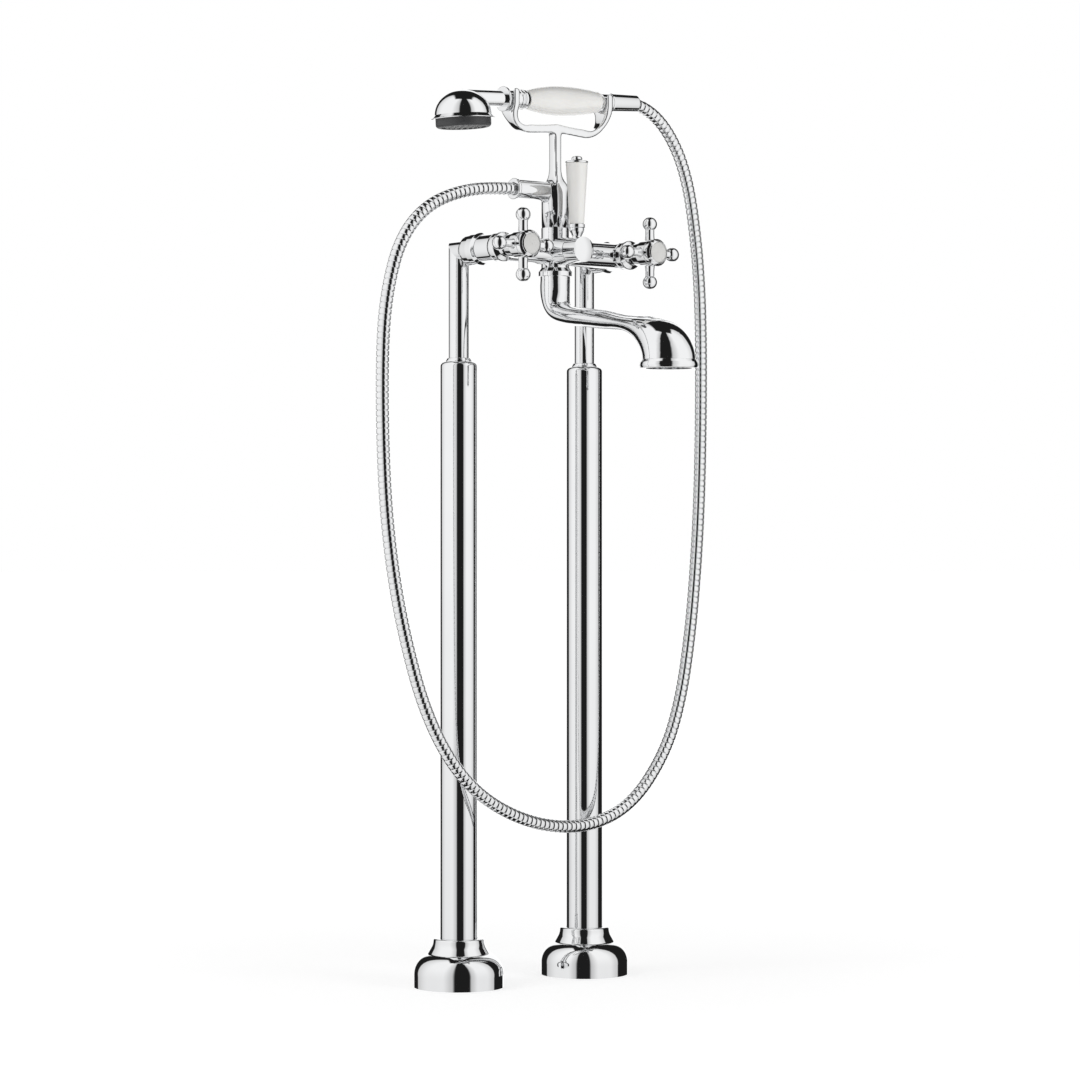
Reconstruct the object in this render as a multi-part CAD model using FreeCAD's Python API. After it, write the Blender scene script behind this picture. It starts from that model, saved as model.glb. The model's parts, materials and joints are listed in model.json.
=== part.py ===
import FreeCAD, Part
import math
import os

# Floor standing bath filler with a hand shower in a cradle.
# Millimetres, +Z up. Origin: on the floor, midway between the two standpipes.
# The spout points to -Y, the hand shower lies along X with its head to -X.

# ---------------------------------------------------------------- clearances
running = 0.05          # turned fits that move
sliding = 0.1           # sleeves pushed over each other
loose = 0.3             # parts that lift off or swing past each other

# ---------------------------------------------------------------- standpipes
pipe_spacing = 174.0
pipe_radius = 11.0
pipe_wall = 1.5
pipe_foot = 1.0                   # gap left under the pipe end
inlet_radius = 9.9                # threaded inlet in the foot of each pipe
inlet_depth = 8.5
column_radius = 20.0
column_wall = 2.0
column_top = 671.5
column_shoulder = 5.0
column_cap = 3.0
flange_radius = 44.0
flange_thickness = 10.0
flange_spigot = 50.0
flange_bolt_offset = 26.0         # hole centres, each way from the column axis
flange_bolt_radius = 3.5
grub_radius = 2.5
grub_height = 30.0
gland_radius = 14.0
gland_dome = 4.0
gland_bush_wall = 2.0
gland_depth = 16.0

rosette_radius = 48.3
rosette_brow = 28.4               # height where its side and its dome would cross
rosette_dome = 24.0
rosette_waist = 33.6
rosette_waist_height = 35.7
rosette_neck = 27.9
rosette_neck_height = 45.5
rosette_mouth = 27.1
rosette_height = 52.3
rosette_wall = 2.0
rosette_collar = 7.0

# -------------------------------------------------------------------- mixer
axis_height = 790.0               # axis of valves, bar and diverter
elbow_joint = 18.0                # from the valve axis down to the pipe end
elbow_bore = 8.0
elbow_spigot = 8.0
elbow_ease = 3.5                  # rounding of its back corner
flare_start = 13.5
flare_end = 24.0
flare_radius = 16.8
union_radius = 17.5
union_length = 22.0
union_end = flare_end + union_length
tail_radius = 13.0
tail_wall = 1.4                   # rim of the elbow's end round its washer
tail_start = flare_end + 5.0
tail_bore = 9.0
washer_thickness = 2.0
cage_wall = 4.0                   # non-return cartridge
cage_length = 14.0
barrel_radius = 15.1
barrel_length = 23.0
barrel_end = union_end + barrel_length
chamber_radius = 11.0
chamber_step = 6.0                # depth that the bonnet's skirt enters
riser_y = -(union_end + 11.0)     # axis of bar, spout neck, riser and hand shower
bar_radius = 14.0
bar_bore = 7.0
neck_radius = 15.2
neck_bore = 11.5
neck_rise = 25.6
neck_drop = 24.0
body_top = axis_height + neck_rise
body_bottom = axis_height - neck_drop
riser_socket = 10.0
riser_socket_depth = 14.0

bonnet_length = 18.5
bonnet_radius = 15.9
bonnet_nose = 10.4
ceramic_thickness = 3.0
spindle_radius = 4.0

# ------------------------------------------------------------- cross handles
handle_gap = 1.1                  # between bonnet and handle
handle_start = barrel_end + bonnet_length + handle_gap
handle_hub = 14.7
handle_hub_length = 29.9
handle_hub_end = handle_start + handle_hub_length
handle_throat = 9.6
handle_centre = handle_start + 23.4      # plane of the four arms
spindle_grip = 4.0                # spindle beyond the plane of the arms
arm_reach = 31.4                  # ball centres from the valve axis
arm_radius = 4.9
arm_root = 6.2
ball_radius = 7.9
bezel_radius = 14.3
bezel_depth = 8.0
index_radius = 12.2
index_thickness = 2.8
index_dome = 0.9
screw_radius = 2.0
screw_head = 3.6
screw_length = 10.0

# ----------------------------------------------------------------- diverter
diverter_root = 16.6
diverter_tip = 13.9
diverter_length = 29.0            # forward of the spout's axis
diverter_seat = diverter_length - riser_y
diverter_chamber = 9.5
cartridge_length = 18.0
knob_radius = 13.6
knob_length = 17.6
knob_socket = 10.0
cap_rim = 2.0
cap_dome = 2.6
lever_y = diverter_seat + knob_length / 2 - 0.8
lever_base = axis_height + knob_radius + 1.0
cup_foot = 4.9
cup_height = 13.4
cup_radius = 8.0
cup_ring = 8.8
grip_bottom_radius = 7.85
grip_top_radius = 11.95
grip_length = 65.0
lever_rod = 2.5
rod_depth = 8.6                   # rod below the lever's foot
finial_radius = 12.4
finial_height = 7.4

# ----------------------------------------------------- riser, cradle, outlet
outlet_height = body_top + 39.4
riser_radius = 15.0
riser_shoulder = outlet_height - 9.0
stem_width = 8.8
stem_depth = 12.5
stem_start = riser_shoulder + 28.0
stem_length = 44.6
riser_bore = 6.5
arm_under = stem_start + stem_length
arm_top = arm_under + 9.3
arm_low_top = arm_top - 3.3
arm_low_under = arm_top - 12.4
arm_run = 38.0
outlet_face = 13.4
nipple_radius = 6.6
nipple_length = 18.0
nut_radius = 10.7
nut_rim = 11.4
nut_length = 44.4

# -------------------------------------------------------------- hand shower
handset_height = arm_top + 25.5   # axis height over the riser
handset_tilt = 3.0                # degrees, rising to +X
core_radius = 6.4
core_bore = 4.5
core_tail = 20.0                  # inner tube inside the head's neck
collar_at = -72.0
collar_radius = 13.3
collar_width = 2.6
head_centre = collar_at - 53.5
head_radius = 30.2
head_crown = 8.0
head_base = -18.6
head_wall = 2.0
head_lip = 33.9
head_lip_drop = 4.6
spray_radius = 29.4
spray_depth = 8.6
shower_neck = 8.8
ferrule_radius = 9.6
ferrule_end = collar_at + 32.0
bead_radius = 10.7
porcelain_end = 60.0
porcelain_left = 9.7
porcelain_waist = 15.7
porcelain_right = 11.4
porcelain_bore = 6.6
rear_neck = 8.0
rear_end = porcelain_end + 15.6
cone_length = 37.4
cone_end = rear_end + cone_length
cone_left = 10.3
cone_right = 9.6
cone_grip = 10.0                  # inner tube inside the cone

# -------------------------------------------------------- forks of the cradle
fork_length = 8.0
fork_wall = 3.4
fork_round = 3.0
fork_left = collar_at + collar_width + 3.6 + fork_length / 2
fork_right = porcelain_end + 3.0 + fork_length / 2
fork_lip_left = 11.0              # prongs above the hand shower's axis
fork_lip_right = 8.3

# --------------------------------------------------------------------- hose
hose_radius = 6.8
hose_bore = 4.0
hose_ribs = 180
rib_depth = 0.8
# Route in the plane of the riser, as (x, z) points: from the outlet nut, down
# in front of both columns and up to the hand shower. Its ends follow the
# outlet and the hand shower.
hose_route = [
    (-34, 855), (-78, 855), (-128, 848.5), (-174, 829), (-206, 793), (-222, 743), (-229, 688),
    (-229, 588), (-223, 492), (-206, 396), (-171, 289), (-117, 217), (-41, 177), (40, 166.5),
    (107, 188), (156, 244), (179, 304), (192, 373), (200, 441), (206, 524), (208.5, 618),
    (208.5, 738), (204, 812), (197, 866), (188, 899.5), (176, 923.5), (159, 942), (138.5, 954.6),
    (117.5, 959.5), (97, 958.5)]

# -------------------------------------------------------------------- spout
spout_seam = body_bottom - 2.4
spout_neck = 16.2
spout_wall = 2.4
spout_spigot = 15.0
spout_waterway = 8.0
spout_reach = 188.0
spout_drop = 97.1
collar_ring_radius = 18.2
collar_ring_top = spout_seam + 9.2
seal_thickness = 2.2
mouth_y = riser_y - spout_reach
mouth_radius = 27.6
mouth_top = spout_seam - spout_drop
mouth_bottom = mouth_top - 9.0
lip_radius = 30.6
mouth_bore = 24.0
mouth_recess = 5.9
grid_radius = 22.6
grid_thickness = 3.4
grid_height = mouth_bottom + mouth_recess
grid_hole = 1.9
grid_pitch = 6.4
spout_ring_count = 30
# Stations along the spout: distance forward and down of its underside, the
# same of its top, as shares of reach and drop, and half its width as a share
# of the mouth's radius.
spout_stations = [
    (-0.085, 0.202, 0.085, 0.202, 0.580),
    (-0.025, 0.425, 0.083, 0.290, 0.565),
    (0.106, 0.540, 0.145, 0.338, 0.550),
    (0.271, 0.582, 0.285, 0.375, 0.530),
    (0.484, 0.632, 0.495, 0.431, 0.530),
    (0.612, 0.660, 0.654, 0.484, 0.600),
    (0.700, 0.705, 0.809, 0.515, 0.715),
    (0.775, 0.785, 0.955, 0.568, 0.840),
    (0.825, 0.885, 1.078, 0.705, 0.940)]

# ------------------------------------------------------------------- helpers
UP = FreeCAD.Vector(0, 0, 1)
FORWARD = FreeCAD.Vector(0, -1, 0)
LEFT = FreeCAD.Vector(-1, 0, 0)
RIGHT = FreeCAD.Vector(1, 0, 0)
ORIGIN = FreeCAD.Vector(0, 0, 0)


def vector(x, y, z):
    return FreeCAD.Vector(x, y, z)


def corner_arc(before, corner, after, radius):
    """Start, middle and end of the arc that rounds one corner of an outline."""
    into = (before - corner).normalize()
    out = (after - corner).normalize()
    half = into.getAngle(out) / 2
    reach = radius / math.tan(half)
    bisector = (into + out).normalize()
    centre = corner + bisector * (radius / math.sin(half))
    return corner + into * reach, centre - bisector * radius, corner + out * reach


def outline(points, place=lambda a, b: FreeCAD.Vector(a, 0, b)):
    """Closed wire through (a, b) or (a, b, corner radius) points."""
    corners = [place(p[0], p[1]) for p in points]
    count = len(points)
    ends = []
    for i in range(count):
        radius = points[i][2] if len(points[i]) > 2 else 0
        if radius:
            ends.append(corner_arc(corners[i - 1], corners[i], corners[(i + 1) % count], radius))
        else:
            ends.append((corners[i], None, corners[i]))
    edges = []
    for i in range(count):
        start, middle, end = ends[i]
        following = ends[(i + 1) % count][0]
        if middle is not None:
            edges.append(Part.Arc(start, middle, end).toShape())
        if end.distanceToPoint(following) > 1e-6:
            edges.append(Part.LineSegment(end, following).toShape())
    return Part.Wire(edges)


def crown(radius, base, rise):
    """Edge of a shallow spherical dome, from its rim up to its own axis."""
    sphere = (radius ** 2 + rise ** 2) / (2 * rise)
    half = math.asin(radius / sphere) / 2
    middle = vector(sphere * math.sin(half), 0, base + rise - sphere * (1 - math.cos(half)))
    return Part.Arc(vector(radius, 0, base), middle, vector(0, 0, base + rise))


def dome(radius, base, rise):
    """Edge of an elliptic dome, upright at its rim and level at its crown."""
    steps = 8
    points = []
    for i in range(steps + 1):
        angle = math.pi / 2 * i / steps
        points.append(vector(radius * math.cos(angle), 0, base + rise * math.sin(angle)))
    curve = Part.BSplineCurve()
    curve.interpolate(Points=points, InitialTangent=UP, FinalTangent=LEFT)
    return curve


def aimed(shape, origin, direction):
    """The shape with its own Z axis turned to a direction, at an origin."""
    moved = shape.copy()
    moved.Placement = FreeCAD.Placement(origin, FreeCAD.Rotation(UP, direction))
    return moved


def turned(points, origin=ORIGIN, direction=UP):
    """Solid of revolution from (radius, length) points."""
    face = Part.Face(outline(points))
    return aimed(face.revolve(ORIGIN, UP, 360), origin, direction)


def disc(radius, start, end, origin=ORIGIN, direction=UP, bore=0):
    """Plain round piece, solid or with a bore."""
    return turned([(bore, start), (radius, start), (radius, end), (bore, end)], origin, direction)


def box_between(low, high):
    size = high - low
    return Part.makeBox(size.x, size.y, size.z, low)


def fused(first, *others):
    return first.fuse(list(others)).removeSplitter()


def valve_origin(side):
    return vector(side * pipe_spacing / 2, 0, axis_height)


SIDES = {"left": -1, "right": 1}
parts = {}


# ---------------------------------------------------------------- standpipes
def floor_flange():
    spigot = column_radius - column_wall - sliding
    bore = pipe_radius + sliding
    top = flange_thickness + flange_spigot
    body = turned([(bore, 0), (flange_radius, 0), (flange_radius, flange_thickness, 2),
                   (spigot, flange_thickness), (spigot, top, 1), (bore, top)])
    for x in (-flange_bolt_offset, flange_bolt_offset):
        for y in (-flange_bolt_offset, flange_bolt_offset):
            hole = Part.makeCylinder(flange_bolt_radius, flange_thickness, vector(x, y, 0))
            body = body.cut(hole)
    return body.cut(grub_holes())


def grub_holes():
    across = 2 * column_radius
    return Part.makeCylinder(grub_radius, across, vector(-column_radius, 0, grub_height), RIGHT)


def grub_screws():
    length = column_radius - pipe_radius - 3 * sliding
    screws = []
    for side in SIDES.values():
        start = vector(side * (pipe_radius + 2 * sliding), 0, grub_height)
        screws.append(disc(grub_radius - running, 0, length, start, vector(side, 0, 0)))
    return screws


def column_tube():
    inner = column_radius - column_wall
    hole = pipe_radius + gland_bush_wall + sliding
    under_cap = column_top - column_cap
    body = turned([(inner, flange_thickness), (column_radius, flange_thickness),
                   (column_radius, column_top, column_shoulder), (hole, column_top),
                   (hole, under_cap), (inner, under_cap, column_shoulder - column_wall)])
    return body.cut(grub_holes())


def pipe_gland():
    bore = pipe_radius + running
    bush = pipe_radius + gland_bush_wall
    crown = column_top + gland_dome
    return turned([(bore, column_top - gland_depth), (bush, column_top - gland_depth),
                   (bush, column_top), (gland_radius, column_top),
                   (gland_radius, column_top + 1.2, 0.5), (bore + 1.4, crown, 1.2), (bore, crown)])


def supply_pipe():
    bore = pipe_radius - pipe_wall
    top = axis_height - elbow_joint
    inlet_top = pipe_foot + inlet_depth
    return turned([(inlet_radius, pipe_foot), (pipe_radius, pipe_foot), (pipe_radius, top), (bore, top),
                   (bore, inlet_top), (inlet_radius, inlet_top)])


def rosette():
    """Domed cover with a waist and a straight neck, hollow over the flange."""
    bore = column_radius + loose
    top = rosette_height
    wall = rosette_wall
    ledge = top - rosette_collar
    return turned([(rosette_radius, 0), (rosette_radius, rosette_brow, rosette_dome),
                   (rosette_waist, rosette_waist_height, 3), (rosette_neck, rosette_neck_height, 12),
                   (rosette_mouth, top, 2.2), (bore, top), (bore, ledge), (rosette_neck - wall, ledge),
                   (rosette_waist - wall, rosette_waist_height - wall),
                   (rosette_radius - wall, rosette_brow - wall, rosette_dome - wall),
                   (rosette_radius - wall, 0)])


def build_standpipes():
    screws = []
    for name, side in SIDES.items():
        base = vector(side * pipe_spacing / 2, 0, 0)
        for node, make in (("floor_flange", floor_flange), ("column_tube", column_tube),
                           ("pipe_gland", pipe_gland), ("supply_pipe", supply_pipe),
                           ("rosette", rosette)):
            parts[node + "_" + name] = aimed(make(), base, UP)
        for screw in grub_screws():
            screw.translate(base)
            screws.append(screw)
    parts["column_grub_screws"] = Part.makeCompound(screws)


# ------------------------------------------------------------ supply elbows
def mitre_corner(radius, origin):
    """Crossing of the two round legs of an elbow, with its back corner eased."""
    upright = disc(radius, -radius, radius, origin)
    level = disc(radius, -radius, radius, origin, FORWARD)

    def across(y, z):
        return origin + vector(-radius, y, z)

    side = outline([(-radius, -radius), (radius, -radius), (radius, radius, elbow_ease),
                    (-radius, radius)], across)
    return upright.common(level).common(Part.Face(side).extrude(vector(2 * radius, 0, 0)))


def supply_elbow(side):
    """Squared elbow off the pipe with a flared end that meets the union."""
    origin = valve_origin(side)
    down = disc(pipe_radius, 0, elbow_joint, origin, vector(0, 0, -1))
    spigot = disc(pipe_radius - pipe_wall - running, elbow_joint, elbow_joint + elbow_spigot,
                  origin, vector(0, 0, -1))
    corner = mitre_corner(pipe_radius, origin)
    reach = tail_start - washer_thickness
    flare = turned([(0, 0), (pipe_radius, 0), (pipe_radius, flare_start, 3),
                    (flare_radius - 0.4, flare_end - 2.4, 3), (flare_radius, flare_end),
                    (tail_radius - tail_wall, flare_end), (tail_radius - tail_wall, reach), (0, reach)],
                   origin, FORWARD)
    body = fused(down, spigot, corner, flare)
    bore_down = disc(elbow_bore, 0, elbow_joint + elbow_spigot, origin, vector(0, 0, -1))
    bore_out = disc(elbow_bore, 0, reach, origin, FORWARD)
    return body.cut([bore_down, Part.makeSphere(elbow_bore, origin), bore_out])


def union_collar(side):
    """Domed union ring that draws the elbow against the mixer's tail."""
    inner = tail_radius - tail_wall + sliding
    shoulder = tail_start - washer_thickness - sliding
    rim = flare_radius
    return turned([(inner, flare_end), (rim, flare_end), (union_radius, flare_end + 9, 8),
                   (union_radius, union_end - 4, 2.5), (barrel_radius + 0.2, union_end),
                   (tail_radius + sliding, union_end), (tail_radius + sliding, shoulder),
                   (inner, shoulder)],
                  valve_origin(side), FORWARD)


def union_washer(side):
    return disc(tail_radius - running, tail_start - washer_thickness, tail_start,
                valve_origin(side), FORWARD, bore=elbow_bore)


def check_valve(side):
    """Non-return cartridge: a cage with a shut poppet."""
    radius = tail_bore - running
    start = tail_start
    inner = radius - cage_wall
    seat = start + cage_length / 3
    return turned([(0, seat), (inner, seat), (inner, start), (radius, start),
                   (radius, start + cage_length), (inner, start + cage_length),
                   (inner, seat + cage_length / 5), (0, seat + cage_length / 5)],
                  valve_origin(side), FORWARD)


# -------------------------------------------------------------- mixer body
def mixer_body():
    """One casting: two valve barrels, the bar, the neck and the diverter cone."""
    centre = vector(0, riser_y, axis_height)
    solids = []
    bores = []
    for side in SIDES.values():
        origin = valve_origin(side)
        solids.append(turned([(0, tail_start), (tail_radius, tail_start), (tail_radius, union_end),
                              (barrel_radius, union_end), (barrel_radius, barrel_end), (0, barrel_end)],
                             origin, FORWARD))
        bores.append(turned([(0, tail_start), (tail_bore, tail_start), (tail_bore, union_end),
                             (chamber_radius, union_end), (chamber_radius, barrel_end), (0, barrel_end)],
                            origin, FORWARD))
    half = pipe_spacing / 2
    reliefs = []
    for side in SIDES.values():
        origin = valve_origin(side)
        reliefs.append(disc(union_radius + loose, tail_start, union_end, origin, FORWARD))
        reliefs.append(disc(bonnet_radius + loose, barrel_end, barrel_end + bonnet_length, origin,
                            FORWARD))
    solids.append(disc(bar_radius, -half, half, centre, RIGHT).cut(reliefs))
    bores.append(disc(bar_bore, -half, half, centre, RIGHT))
    solids.append(disc(neck_radius, body_bottom, body_top, vector(0, riser_y, 0)))
    bores.append(disc(neck_bore, body_bottom, axis_height, vector(0, riser_y, 0)))
    bores.append(disc(riser_bore, axis_height, body_top, vector(0, riser_y, 0)))
    bores.append(disc(riser_socket, body_top - riser_socket_depth, body_top, vector(0, riser_y, 0)))
    plane = vector(0, 0, axis_height)
    solids.append(turned([(0, -riser_y), (diverter_root, -riser_y), (diverter_tip, diverter_seat, 0.8),
                          (0, diverter_seat)], plane, FORWARD))
    bores.append(disc(diverter_chamber, -riser_y, diverter_seat, plane, FORWARD))
    return fused(solids[0], *solids[1:]).cut(bores)


def bonnet(side):
    """Headwork cover: a bead ring that narrows to a nose behind the handle."""
    start = barrel_end
    end = start + bonnet_length
    bore = spindle_radius + 1.5
    skirt = chamber_radius - sliding
    return turned([(bore, start), (skirt - 2, start), (skirt - 2, start - chamber_step),
                   (skirt, start - chamber_step),
                   (skirt, start), (barrel_radius - 0.6, start), (barrel_radius - 0.6, start + 1.5),
                   (bonnet_radius, start + 3.5, 1), (bonnet_radius, start + 10.5, 2.5),
                   (bonnet_nose, end - 4, 3), (bonnet_nose, end), (bore, end)],
                  valve_origin(side), FORWARD)


def headwork(side):
    """Brass cartridge shell that carries the spindle and the ceramic discs."""
    end = barrel_end - chamber_step - sliding
    start = union_end + ceramic_thickness
    bore = spindle_radius + running
    return turned([(bore, start), (chamber_radius - running, start), (chamber_radius - running, end),
                   (chamber_radius - 2.4, end),
                   (chamber_radius - 2.4, barrel_end - sliding), (bore, barrel_end - sliding)],
                  valve_origin(side), FORWARD)


def ceramic_disc(side):
    body = disc(chamber_radius - 0.4, union_end + sliding, union_end + ceramic_thickness - sliding,
                valve_origin(side), FORWARD)
    port = valve_origin(side) + vector(0, 0, chamber_radius / 2)
    return body.cut(disc(chamber_radius / 4, union_end, union_end + ceramic_thickness, port, FORWARD))


def valve_spindle(side):
    start = union_end + ceramic_thickness + loose
    tip = handle_centre + spindle_grip
    return disc(spindle_radius, start, tip, valve_origin(side), FORWARD, bore=screw_radius)


def build_mixer():
    washers = []
    checks = []
    discs = []
    for name, side in SIDES.items():
        parts["supply_elbow_" + name] = supply_elbow(side)
        parts["union_collar_" + name] = union_collar(side)
        parts["bonnet_" + name] = bonnet(side)
        parts["headwork_" + name] = headwork(side)
        parts["valve_spindle_" + name] = valve_spindle(side)
        washers.append(union_washer(side))
        checks.append(check_valve(side))
        discs.append(ceramic_disc(side))
    parts["union_washers"] = Part.makeCompound(washers)
    parts["check_valves"] = Part.makeCompound(checks)
    parts["ceramic_discs"] = Part.makeCompound(discs)
    parts["mixer_body"] = mixer_body()


# ------------------------------------------------------------ cross handles
def handle_arm():
    """One arm and its ball, standing on the hub axis along Z."""
    join = arm_reach - math.sqrt(ball_radius ** 2 - arm_radius ** 2)
    waist = handle_hub + 5
    root = handle_hub - 4
    edges = [
        Part.LineSegment(vector(0, 0, root), vector(arm_root, 0, root)),
        Part.Arc(vector(arm_root, 0, root), vector(arm_radius + 0.45, 0, waist - 5),
                 vector(arm_radius, 0, waist)),
        Part.LineSegment(vector(arm_radius, 0, waist), vector(arm_radius, 0, join)),
        Part.Arc(vector(arm_radius, 0, join), vector(ball_radius, 0, arm_reach),
                 vector(0, 0, arm_reach + ball_radius)),
        Part.LineSegment(vector(0, 0, arm_reach + ball_radius), vector(0, 0, root))]
    wire = Part.Wire([edge.toShape() for edge in edges])
    return Part.Face(wire).revolve(ORIGIN, UP, 360)


def cross_handle(side):
    origin = valve_origin(side)
    flank = handle_start + 6
    hub = turned([(0, handle_start), (handle_throat, handle_start),
                  (handle_hub - 1.5, flank, 3), (handle_hub, flank + 11, 6),
                  (handle_hub, handle_hub_end, 0.8), (0, handle_hub_end)], origin, FORWARD)
    centre = origin + FORWARD * handle_centre
    arms = [aimed(handle_arm(), centre, direction) for direction in (UP, UP * -1, LEFT, RIGHT)]
    body = fused(hub, *arms)
    deep = handle_centre + spindle_grip + running
    socket = disc(spindle_radius + running, handle_start, deep, origin, FORWARD)
    through = disc(screw_radius + sliding, handle_centre, handle_hub_end, origin, FORWARD)
    sink = disc(screw_head + sliding, handle_hub_end - 1.2, handle_hub_end, origin, FORWARD)
    return body.cut([socket, through, sink])


def handle_screw(side):
    thread = screw_radius - running
    seat = handle_hub_end - 1.2
    tip = handle_centre - screw_length
    return turned([(0, tip), (thread, tip), (thread, seat),
                   (screw_head, seat), (screw_head, seat + 2.4, 0.6), (0, seat + 2.4)],
                  valve_origin(side), FORWARD)


def index_bezel(side):
    start = handle_hub_end
    end = start + bezel_depth
    seat = end - index_thickness + 0.6
    return turned([(screw_head + 1, start), (bezel_radius, start, 0.5), (bezel_radius, end - 1, 1),
                   (index_radius + 1, end, 0.5), (index_radius + sliding, end),
                   (index_radius + sliding, seat), (screw_head + 1, seat)],
                  valve_origin(side), FORWARD)


def index_disc(side):
    """Domed index button."""
    seat = handle_hub_end + bezel_depth - index_thickness + 0.6
    edge = seat + index_thickness - index_dome
    edges = [
        Part.LineSegment(vector(0, 0, seat), vector(index_radius, 0, seat)),
        Part.LineSegment(vector(index_radius, 0, seat), vector(index_radius, 0, edge)),
        crown(index_radius, edge, index_dome),
        Part.LineSegment(vector(0, 0, edge + index_dome), vector(0, 0, seat))]
    wire = Part.Wire([item.toShape() for item in edges])
    body = Part.Face(wire).revolve(ORIGIN, UP, 360)
    return aimed(body, valve_origin(side), FORWARD)


def build_handles():
    for name, side in SIDES.items():
        parts["cross_handle_" + name] = cross_handle(side)
        parts["handle_screw_" + name] = handle_screw(side)
        parts["index_bezel_" + name] = index_bezel(side)
        parts["index_disc_" + name] = index_disc(side)


# ----------------------------------------------------------------- diverter
def build_diverter():
    plane = vector(0, 0, axis_height)
    lever = vector(0, -lever_y, 0)
    knob_start = diverter_seat + loose
    knob_end = knob_start + knob_length
    spindle_end = knob_start + knob_socket
    parts["diverter_cartridge"] = disc(diverter_chamber - running, diverter_seat - cartridge_length,
                                       diverter_seat,
                                       plane, FORWARD, bore=spindle_radius + running)
    parts["diverter_spindle"] = disc(spindle_radius, diverter_seat - cartridge_length - 3, spindle_end,
                                     plane, FORWARD)

    boss = disc(cup_foot, axis_height, lever_base, lever)
    knob = fused(disc(knob_radius, knob_start, knob_end, plane, FORWARD), boss)
    socket = disc(spindle_radius + running, knob_start, spindle_end + sliding, plane, FORWARD)
    rod_foot = lever_base - rod_depth
    rod_hole = disc(lever_rod + running, rod_foot, lever_base, lever)
    parts["diverter_knob"] = knob.cut([socket, rod_hole])

    rim = knob_end + cap_rim
    edges = [
        Part.LineSegment(vector(0, 0, knob_end), vector(knob_radius, 0, knob_end)),
        Part.LineSegment(vector(knob_radius, 0, knob_end), vector(knob_radius, 0, rim)),
        crown(knob_radius, rim, cap_dome),
        Part.LineSegment(vector(0, 0, rim + cap_dome), vector(0, 0, knob_end))]
    wire = Part.Wire([item.toShape() for item in edges])
    parts["diverter_cap"] = aimed(Part.Face(wire).revolve(ORIGIN, UP, 360), plane, FORWARD)

    hole = lever_rod + running
    cup_top = lever_base + cup_height
    grip_top = cup_top + grip_length
    parts["lever_cup"] = turned([(hole, lever_base), (cup_foot, lever_base),
                                 (cup_radius, lever_base + 6, 4), (cup_radius, cup_top - 4.6),
                                 (cup_ring, cup_top - 4, 0.3), (cup_ring, cup_top - 0.6, 0.4),
                                 (cup_radius, cup_top), (hole, cup_top)], lever)
    parts["lever_grip"] = turned([(hole, cup_top), (grip_bottom_radius, cup_top, 0.6),
                                  (grip_top_radius, grip_top, 0.8), (hole, grip_top)], lever)
    finial_top = grip_top + finial_height
    ball = finial_radius / 2
    parts["lever_finial"] = turned([(hole, grip_top), (finial_radius, grip_top),
                                    (finial_radius, grip_top + 1.8, 0.8), (ball + 1, grip_top + 2.8),
                                    (ball, grip_top + 3.6, 0.3), (ball - 1, finial_top, 2.6),
                                    (0, finial_top), (0, grip_top + 2), (hole, grip_top + 2)], lever)
    parts["lever_rod"] = disc(lever_rod, rod_foot, grip_top + 2, lever)


# ------------------------------------------------------------ riser cradle
def on_riser(x, z):
    return vector(x, riser_y, z)


def fork_axis(centre):
    """Height of the hand shower's axis over one fork."""
    return handset_height + centre * math.tan(math.radians(handset_tilt))


def fork_profile(side, centre, top):
    """Side outline of one cradle arm with the block its fork is cut from."""
    inner = centre - side * fork_length / 2
    outer = centre + side * fork_length / 2
    floor = fork_axis(centre) - ferrule_radius - fork_wall - loose
    low = side * arm_run
    lean = side * fork_round
    bulge = fork_round * (1 - math.sqrt(0.5))
    edges = [
        Part.LineSegment(on_riser(0, arm_under), on_riser(low, arm_low_under)),
        Part.Arc(on_riser(low, arm_low_under),
                 on_riser(low + 0.66 * (outer - low), arm_low_under + 0.3 * (floor - arm_low_under)),
                 on_riser(outer, floor)),
        Part.LineSegment(on_riser(outer, floor), on_riser(outer, top - fork_round)),
        Part.Arc(on_riser(outer, top - fork_round), on_riser(outer - side * bulge, top - bulge),
                 on_riser(outer - lean, top)),
        Part.LineSegment(on_riser(outer - lean, top), on_riser(inner + lean, top)),
        Part.Arc(on_riser(inner + lean, top), on_riser(inner + side * bulge, top - bulge),
                 on_riser(inner, top - fork_round)),
        Part.LineSegment(on_riser(inner, top - fork_round), on_riser(inner, floor + 2)),
        Part.Arc(on_riser(inner, floor + 2),
                 on_riser(low + 0.84 * (inner - low), arm_low_top + 0.31 * (floor + 2 - arm_low_top)),
                 on_riser(low, arm_low_top)),
        Part.Arc(on_riser(low, arm_low_top), on_riser(low * 0.55, arm_low_top + 1.0),
                 on_riser(0, arm_top)),
        Part.LineSegment(on_riser(0, arm_top), on_riser(0, arm_under))]
    return Part.Wire([edge.toShape() for edge in edges])


def fork_front(centre, top):
    """Outline across the arm: narrow below, swelling into the two prongs."""
    wide = ferrule_radius + loose + fork_wall
    narrow = stem_depth / 2
    waist = arm_low_top + 2
    swell = fork_axis(centre) - 7

    def across(y, z):
        return vector(centre - 2 * fork_length, riser_y + y, z)

    points = [(-narrow, arm_low_under - 5), (narrow, arm_low_under - 5), (narrow, waist, 8),
              (wide, swell, 8), (wide, top, 1.6), (-wide, top, 1.6), (-wide, swell, 8),
              (-narrow, waist, 8)]
    return outline(points, across)


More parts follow.
